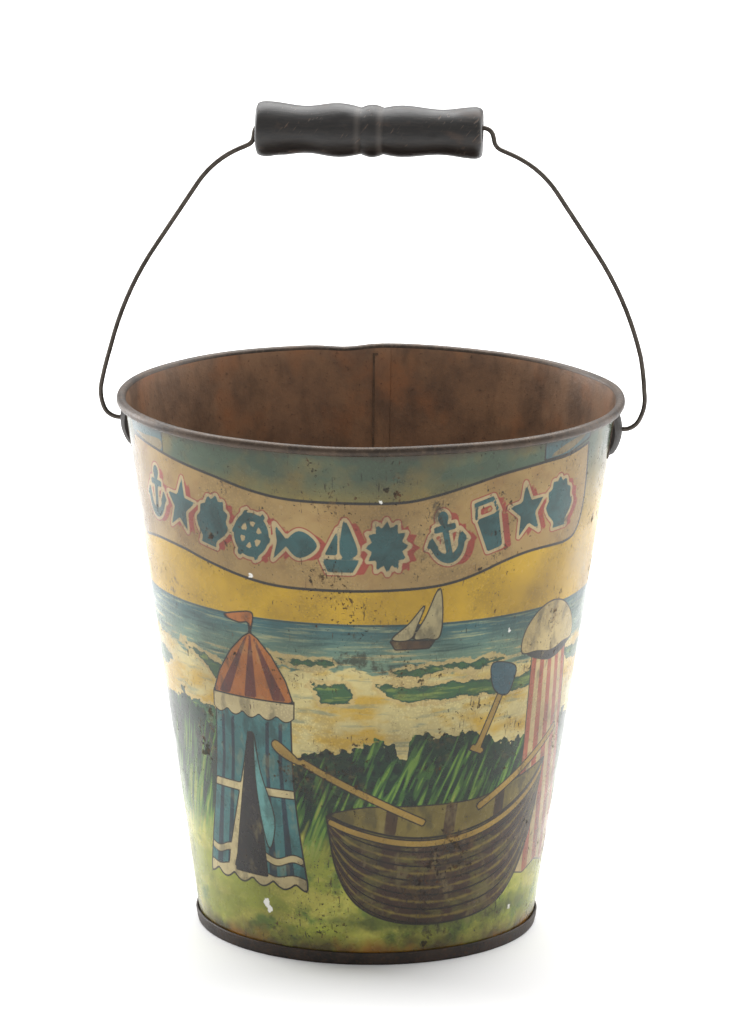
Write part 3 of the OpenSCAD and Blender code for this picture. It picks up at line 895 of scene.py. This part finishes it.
def make_ebonised_wood():
    """Turned hardwood stained black: faint grain along the grip, rubbed grey and nicked by use."""
    made, tree = material("ebonised_turned_wood")
    where = in_mm(tree)
    grain = mottle(tree, where, 0.7, (16, 1, 1), 4, 0.65)
    pores = mottle(tree, where, 0.45, (9, 1, 1), 1, 0.5, 3.0)
    wear = mottle(tree, where, 6, (1.6, 1, 1), 4, 0.6, 6.0)
    along = add(tree, "ShaderNodeSeparateXYZ", inputs={0: where}).outputs[0]
    from_bead = sums(tree, "ABSOLUTE", sums(tree, "ADD", along, 1.1))
    dusty = span(tree, sums(tree, "ABSOLUTE", sums(tree, "SUBTRACT", from_bead, 3.3)), 1.3, 0.2, 0, 0.42)
    colour = over(tree, srgb("#120f0d"), srgb("#231e1a"), span(tree, grain, 0.42, 0.66))
    colour = over(tree, colour, srgb("#090807"), span(tree, pores, 0.58, 0.68, 0, 0.8))
    colour = over(tree, colour, srgb("#453326"), span(tree, wear, 0.57, 0.72, 0, 0.6))
    colour = over(tree, colour, srgb("#57504a"), dusty)
    slanted = add(tree, "ShaderNodeVectorRotate", {"rotation_type": "Y_AXIS"}, {
        "Vector": where, "Angle": 0.9}).outputs[0]
    scuff = mottle(tree, slanted, 0.5, (9, 3, 1), 1, 0.5, 8.0)
    scuff = sums(tree, "MULTIPLY", span(tree, scuff, 0.64, 0.7), span(
        tree, mottle(tree, where, 7, shift=14.0), 0.48, 0.58))
    colour = over(tree, colour, srgb("#5d4a3c"), sums(tree, "MULTIPLY", scuff, 0.6))
    tooling = add(tree, "ShaderNodeTexWave", {"wave_type": "BANDS", "bands_direction": "X"}, {
        "Vector": where, "Scale": 0.55, "Distortion": 1.2, "Detail": 1}).outputs[1]
    height = sums(tree, "ADD", sums(tree, "MULTIPLY", grain, 0.8), sums(tree, "MULTIPLY", tooling, 0.15))
    height = sums(tree, "SUBTRACT", height, scuff)
    shader = add(tree, "ShaderNodeBsdfPrincipled", inputs={
        "Base Color": colour, "Roughness": span(tree, wear, 0.35, 0.7, 0.4, 0.54), "IOR": 1.55,
        "Normal": bump(tree, height, 0.1, 0.6)})
    finish_with(tree, shader)
    return made


litho = make_print()
lining = make_inside()
rim_metal = rusted_steel("worn_rim_tinplate", "#2f261e", "#46382c", "#6a5746", 9, 0.4, 0.42, 0.05)
base_metal = rusted_steel("rusted_base_tinplate", "#1c1714", "#332821", "#5a3f2b", 7, 0.3, 0.55, 0.12, 0.5)
ear_metal = rusted_steel("blackened_stamped_steel", "#120e0b", "#211a14", "#42362b", 5, 0.15, 0.62, 0.06, 0.4)
wire_metal = rusted_steel("oxidised_drawn_wire", "#3d3731", "#554e47", "#7a7168", 4, 0.6, 0.42, 0.03, 0.4)
seam_metal = rusted_steel("browned_seam_solder", "#54412f", "#6c5441", "#86705a", 5, 0.25, 0.5, 0.05, 0.4)
solder_metal = rusted_steel("dull_soft_solder", "#3d3027", "#54443a", "#75624f", 3, 0.4, 0.5, 0.05, 0.3)
wood = make_ebonised_wood()

# ---------------------------------------------------------------- the body sheet

WALL_ROWS = 172
INNER_ROWS = 36
ROLL_ROWS = 18
HIDDEN_ROWS = 6
FRONT_COLUMNS = 250
BACK_COLUMNS = 166
FRONT_HALF = math.radians(86)
ROLL_TURN = math.radians(312)
LAP_WIDE = math.radians(3.9)
LAP_EDGE = 0.0004  # half the turn in which the lap steps up, in radians
LAP_FOOT = 4  # the lap starts this far above the sheet's foot
GRASS_LEAN = 0.007  # radians that the long grass leans round the wall for each millimetre up


def sheet_profile():
    """The sheet's closed section, as points with the zone that each belongs to."""
    gap_r = ROLL_R - SHEET
    start = math.pi - TAPER
    centre = np.array([ROLL_X, ROLL_Z])

    def at(r, turn):
        return centre + r * np.array([math.cos(turn), math.sin(turn)])

    def line(a, b, n, zone):
        return [(*(a + (b - a) * t), zone) for t in np.linspace(0, 1, n, endpoint=False)]

    def arc(r, a, b, n, zone):
        return [(*at(r, a + (b - a) * t), zone) for t in np.linspace(0, 1, n, endpoint=False)]

    outer_foot, inner_foot = np.array([FOOT_OUT, FOOT_Z]), np.array([FOOT_IN, FOOT_Z])
    return (line(outer_foot, at(gap_r, start), WALL_ROWS, 0)
            + arc(gap_r, start, start - ROLL_TURN, HIDDEN_ROWS, 1)
            + arc(ROLL_R, start - ROLL_TURN, start, ROLL_ROWS, 1)
            + line(at(ROLL_R, start), inner_foot, INNER_ROWS, 2))


def columns_round():
    """Angles of the mesh's columns: close over the front half, and a pair at each edge of the lap."""
    front = FRONT + np.linspace(-FRONT_HALF, FRONT_HALF, FRONT_COLUMNS, endpoint=False)
    back = FRONT + np.linspace(FRONT_HALF, 2 * math.pi - FRONT_HALF, BACK_COLUMNS, endpoint=False)
    lap = [edge + side * LAP_EDGE for edge in (SEAM_ANGLE - LAP_WIDE, SEAM_ANGLE) for side in (-1, 1)]
    return np.concatenate([front, np.sort(np.concatenate([back, lap]))])


def make_body():
    """The rolled and lapped sheet, with the print's distances kept on its points."""
    profile = sheet_profile()
    section = np.array([p[:2] for p in profile])
    zone = np.array([p[2] for p in profile])
    angle = columns_round()
    r = np.repeat(section[:, 0], len(angle))
    z = np.repeat(section[:, 1], len(angle))
    turn = np.tile(angle, len(section))
    out, up = dented(turn, z)
    lapped = (turn > SEAM_ANGLE - LAP_WIDE) & (turn < SEAM_ANGLE) & (np.repeat(zone, len(angle)) == 2)
    out = out - SHEET * lapped * (z < ROLL_Z - ROLL_R) * (z > FOOT_Z + LAP_FOOT)
    points = np.c_[(r + out) * np.cos(turn), (r + out) * np.sin(turn), z + up]
    faces = rings(len(section), len(angle), True)
    indices = np.repeat(zone, len(angle))
    piece = new_object("printed_body", points, faces, [litho, rim_metal, lining], indices)
    wall = np.repeat(zone == 0, len(angle))
    inks = draw_print(turn[wall], z[wall])
    for name, field in inks.items():
        values = np.full(len(points), FAR if name != "strake" else -1.0)
        values[wall] = field
        piece.data.attributes.new(name, "FLOAT", "POINT").data.foreach_set("value", values)
    twist = turn - z * GRASS_LEAN
    lean = np.c_[MIDDLE_R * np.cos(twist), MIDDLE_R * np.sin(twist), z]
    piece.data.attributes.new("lean", "FLOAT_VECTOR", "POINT").data.foreach_set("vector", lean.ravel())
    sharpen(piece, 50)
    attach(piece, "pail")
    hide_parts("body_sheet")
    return piece


make_body()

# ---------------------------------------------------------------- steel pieces from the CAD shapes


def weathering_tree():
    """Geometry Nodes that join a CAD copy's triangles, pit it and give it its finish."""
    tree = bpy.data.node_groups.new("weathered_steel", "GeometryNodeTree")
    for name, kind in (("Geometry", "NodeSocketGeometry"), ("Join distance", "NodeSocketFloat"),
                       ("Pit depth", "NodeSocketFloat"), ("Pit size", "NodeSocketFloat"),
                       ("Material", "NodeSocketMaterial")):
        tree.interface.new_socket(name, in_out="INPUT", socket_type=kind)
    tree.interface.new_socket("Geometry", in_out="OUTPUT", socket_type="NodeSocketGeometry")
    given = add(tree, "NodeGroupInput").outputs
    joined = add(tree, "GeometryNodeMergeByDistance", inputs={
        "Geometry": given["Geometry"], "Distance": given["Join distance"]}).outputs[0]
    frequency = sums(tree, "DIVIDE", 1.0, given["Pit size"])
    noise = add(tree, "ShaderNodeTexNoise", inputs={
        "Vector": add(tree, "GeometryNodeInputPosition").outputs[0], "Scale": frequency,
        "Detail": 3}).outputs[0]
    depth = sums(tree, "MULTIPLY", sums(tree, "SUBTRACT", noise, 0.5), given["Pit depth"])
    offset = add(tree, "ShaderNodeVectorMath", {"operation": "SCALE"}, {
        0: add(tree, "GeometryNodeInputNormal").outputs[0], "Scale": depth}).outputs[0]
    moved = add(tree, "GeometryNodeSetPosition", inputs={"Geometry": joined, "Offset": offset}).outputs[0]
    plain = add(tree, "GeometryNodeRealizeInstances", inputs={0: moved}).outputs[0]
    done = add(tree, "GeometryNodeSetMaterial", inputs={
        "Geometry": plain, "Material": given["Material"]}).outputs[0]
    add(tree, "NodeGroupOutput", inputs={0: done})
    return tree


WEATHERING = weathering_tree()


def baked(piece):
    """The piece's evaluated mesh, as a plain mesh with no modifier left."""
    depsgraph = bpy.context.evaluated_depsgraph_get()
    mesh = bpy.data.meshes.new_from_object(piece.evaluated_get(depsgraph))
    piece.modifiers.clear()
    piece.data = mesh
    return piece


def with_the_sheet(co):
    """Points moved with the dented sheet that they lie on."""
    angle, r = np.arctan2(co[:, 1], co[:, 0]), np.hypot(co[:, 0], co[:, 1])
    out, up = dented(angle, co[:, 2])
    return np.c_[(r + out) * np.cos(angle), (r + out) * np.sin(angle), co[:, 2] + up]


def sprung_sideways(co):
    """The bail's points, sprung a little to the right between its ears and its grip."""
    high = np.interp(co[:, 2], (153, 162, 172, 215, 228, 236), (0, 0.4, 1.1, 1.2, 0.8, 0.15))
    return co + np.c_[high, np.zeros((len(co), 2))]


def weathered(node, name, finish, body_name, pit_depth, pit_size, shape=None):
    """A copy of a CAD node with joined, pitted and smoothly shaded faces."""
    piece = bpy.data.objects.new(name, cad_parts[node].data.copy())
    piece.data.materials.clear()
    scene.collection.objects.link(piece)
    modifier = piece.modifiers.new("weathering", "NODES")
    modifier.node_group = WEATHERING
    identifiers = {s.name: s.identifier for s in WEATHERING.interface.items_tree
                   if s.item_type == "SOCKET" and s.in_out == "INPUT"}
    for key, value in (("Join distance", 0.002 * M), ("Pit depth", pit_depth * M),
                       ("Pit size", pit_size * M), ("Material", finish)):
        modifier[identifiers[key]] = value
    baked(piece)
    if shape is not None:
        co = np.empty(len(piece.data.vertices) * 3)
        piece.data.vertices.foreach_get("co", co)
        co = shape(co.reshape(-1, 3) / M)
        piece.data.vertices.foreach_set("co", (co * M).ravel())
    piece.data.polygons.foreach_set("use_smooth", [True] * len(piece.data.polygons))
    sharpen(piece, 35)
    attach(piece, body_name)
    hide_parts(node)
    return piece


weathered("rim_wire", "hoop_wire", wire_metal, "pail", 0.0, 5, with_the_sheet)
weathered("seam_solder", "seam_solder_run", seam_metal, "pail", 0.05, 3, with_the_sheet)
weathered("left_ear", "left_dished_ear", ear_metal, "pail", 0.06, 2.5)
weathered("right_ear", "right_dished_ear", ear_metal, "pail", 0.06, 2.5)
weathered("left_ear_solder", "left_solder_fillet", solder_metal, "pail", 0.12, 1.6)
weathered("right_ear_solder", "right_solder_fillet", solder_metal, "pail", 0.12, 1.6)
weathered("bail_wire", "bail", wire_metal, "bail", 0.03, 4, sprung_sideways)

# ---------------------------------------------------------------- turned and spun pieces


def spun(name, section, columns, finish, axis, centre, shape=None):
    """A closed section spun round an axis; shape moves its points if given."""
    section = np.asarray(section, float)
    turn = np.tile(np.linspace(0, 2 * math.pi, columns, endpoint=False), len(section))
    r, along = np.repeat(section[:, 0], columns), np.repeat(section[:, 1], columns)
    if shape is not None:
        r, along = shape(r, along, turn)
    if axis == "X":
        points = np.c_[along, r * np.cos(turn), r * np.sin(turn)]
    else:
        points = np.c_[r * np.cos(turn), r * np.sin(turn), along]
    return new_object(name, points + np.asarray(centre), rings(len(section), columns, True), [finish])


NICKS = [  # place along the grip, turn, depth, half width
    (-25, -0.9, 0.28, 1.6), (-21, -1.2, 0.22, 1.3), (-28, -1.7, 0.25, 1.8), (9, -1.3, 0.2, 1.1),
    (12, -0.9, 0.22, 1.0), (14, -1.0, 0.18, 0.9), (24, 1.9, 0.3, 1.6), (-8, 2.6, 0.25, 1.5),
    (0, -1.1, 0.18, 0.8), (31, -0.4, 0.3, 1.2), (-12, 0.6, 0.25, 1.6), (18, 3.0, 0.25, 1.4),
]


def hand_turned(r, along, turn):
    """Small unevenness of a grip turned by hand and knocked about."""
    wobble = 0.06 * np.sin(turn * 2 + along * 0.11) + 0.04 * np.sin(turn * 3 - along * 0.23)
    nicks = sum(depth * np.exp(-((along - at) / wide) ** 2 - (wrapped(turn - side) * 7.5 / wide) ** 2)
                for at, side, depth, wide in NICKS)
    return np.where(r > 4, r + wobble - nicks, r), along


def make_grip():
    """The turned grip, spun through the CAD's own stations, with its bored hole."""
    low, high = box_mm("grip")
    middle_y, middle_z = 0.0, (low[2] + high[2]) / 2
    co = cad_points("grip")
    r = np.hypot(co[:, 1] - middle_y, co[:, 2] - middle_z)
    bore = r.min()
    stations = {}
    for x, radius in zip(np.round(co[:, 0], 3), r):
        if radius > bore + 1:
            stations[x] = max(stations.get(x, 0), radius)
    xs = np.array(sorted(stations))
    along = np.linspace(xs[0], xs[-1], 150)
    outside = np.c_[np.interp(along, xs, [stations[x] for x in xs]), along]
    soft = 0.35
    outside[0, 0] -= soft
    outside[-1, 0] -= soft
    mouth = bore + 0.5
    hole = [(mouth, xs[-1]), (bore, xs[-1] - 0.6), (bore, xs[0] + 0.6), (mouth, xs[0])]
    piece = spun("turned_grip", np.vstack([outside, hole]), 96, wood, "X",
                 (0, middle_y, middle_z), hand_turned)
    sharpen(piece, 40)
    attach(piece, "handle")
    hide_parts("grip")
    return piece


make_grip()


def make_base():
    """The base: a hemmed band, the fold that the pail stands on and the recessed floor."""
    low, high = box_mm("base_pan")
    co = cad_points("base_pan")
    r = np.hypot(co[:, 0], co[:, 1])
    floor_low, floor_high = np.unique(np.round(co[r < FOOT_OUT][:, 2], 2))[-2:]
    base_t = floor_high - floor_low
    band_top = high[2]
    foot_out = r[co[:, 2] < low[2] + 0.01].max()
    foot_in = r[co[:, 2] < low[2] + 0.01].min()
    lean = math.tan(TAPER)
    slot_in = foot_in + base_t / math.cos(TAPER)
    slot_out = FOOT_OUT + 0.05 / math.cos(TAPER)
    band_t = foot_out - slot_out
    hem = band_t / 2
    turns = np.radians(np.linspace(0, 180, 9))
    hem_z = band_top - hem
    section = [(0.01, floor_low)]
    section += [(x, floor_low) for x in np.linspace(4, foot_in - 0.9, 12)]
    section += [(foot_in + floor_low * lean - 0.25, floor_low - 0.25), (foot_in + 0.1, 0.35),
                (foot_in + 0.3, low[2]), (foot_out - 0.25, low[2]), (foot_out + 0.02, 0.3)]
    section += [(foot_out + z * lean, z) for z in (1.0, 1.8, 2.6)]
    section += [(slot_out + hem + hem_z * lean + hem * math.cos(a), hem_z + hem * math.sin(a)) for a in turns]
    section += [(slot_out + 1.8 * lean, 1.8), (slot_out + base_t * lean, base_t),
                (slot_in + base_t * lean, base_t), (slot_in + 1.8 * lean, 1.8),
                (slot_in + (floor_high - 0.3) * lean, floor_high - 0.3),
                (slot_in + floor_high * lean - 0.4, floor_high)]
    section += [(x, floor_high) for x in np.linspace(slot_in - 3, 4, 12)] + [(0.01, floor_high)]

    def worked(r, z, turn):
        ripple = 0.05 * np.sin(turn * 9 + z) + 0.05 * np.sin(turn * 23 + 1) + 0.04 * np.sin(turn * 5 + 2)
        on_band = (r > slot_out + 0.02) & (z > 1.5)
        sag = 0.25 * np.cos(np.clip(r / foot_in, 0, 1) * math.pi / 2) * (r < foot_in - 1)
        return r + np.where(on_band, ripple, 0), z + sag

    piece = spun("base", section, 240, base_metal, "Z", (0, 0, 0), worked)
    sharpen(piece, 45)
    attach(piece, "pail")
    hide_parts("base_pan")
    return piece


make_base()

# ---------------------------------------------------------------- floor and light


def make_floor():
    """A plain white floor that runs out of sight."""
    made, tree = material("plain_white_floor")
    finish_with(tree, add(tree, "ShaderNodeBsdfPrincipled", inputs={
        "Base Color": (0.92, 0.92, 0.92, 1), "Roughness": 0.75, "Specular IOR Level": 0.2}))
    half = 9.0
    mesh = bpy.data.meshes.new("floor")
    mesh.from_pydata([(-half, -half, 0), (half, -half, 0), (half, half, 0), (-half, half, 0)], [],
                     [(0, 1, 2, 3)])
    mesh.materials.append(made)
    floor = bpy.data.objects.new("floor", mesh)
    scene.collection.objects.link(floor)


def softbox(name, place, aim, wide, tall, watts):
    """A large soft studio light facing the aim point."""
    data = bpy.data.lights.new(name, "AREA")
    data.shape = "RECTANGLE"
    data.size, data.size_y = wide, tall
    data.energy = watts
    light = bpy.data.objects.new(name, data)
    light.location = place
    light.rotation_euler = (Vector(aim) - Vector(place)).to_track_quat("-Z", "Y").to_euler()
    scene.collection.objects.link(light)


def make_light():
    """White surroundings, a large light overhead and a softer one at each side."""
    world = bpy.data.worlds.new("studio")
    world.use_nodes = True
    back = world.node_tree.nodes["Background"]
    back.inputs[0].default_value = (1, 1, 1, 1)
    back.inputs[1].default_value = 0.56
    scene.world = world
    softbox("overhead", (0, 1.0, 1.7), (0, 0.5, 0), 2.8, 2.0, 84)
    softbox("left", (-1.5, 0.9, 0.5), (0, 0, 0.1), 1.0, 1.4, 28)
    softbox("right", (1.5, 0.9, 0.5), (0, 0, 0.1), 1.0, 1.4, 14)
    scene.view_settings.view_transform = "Standard"
    scene.view_settings.look = "None"


make_floor()
make_light()
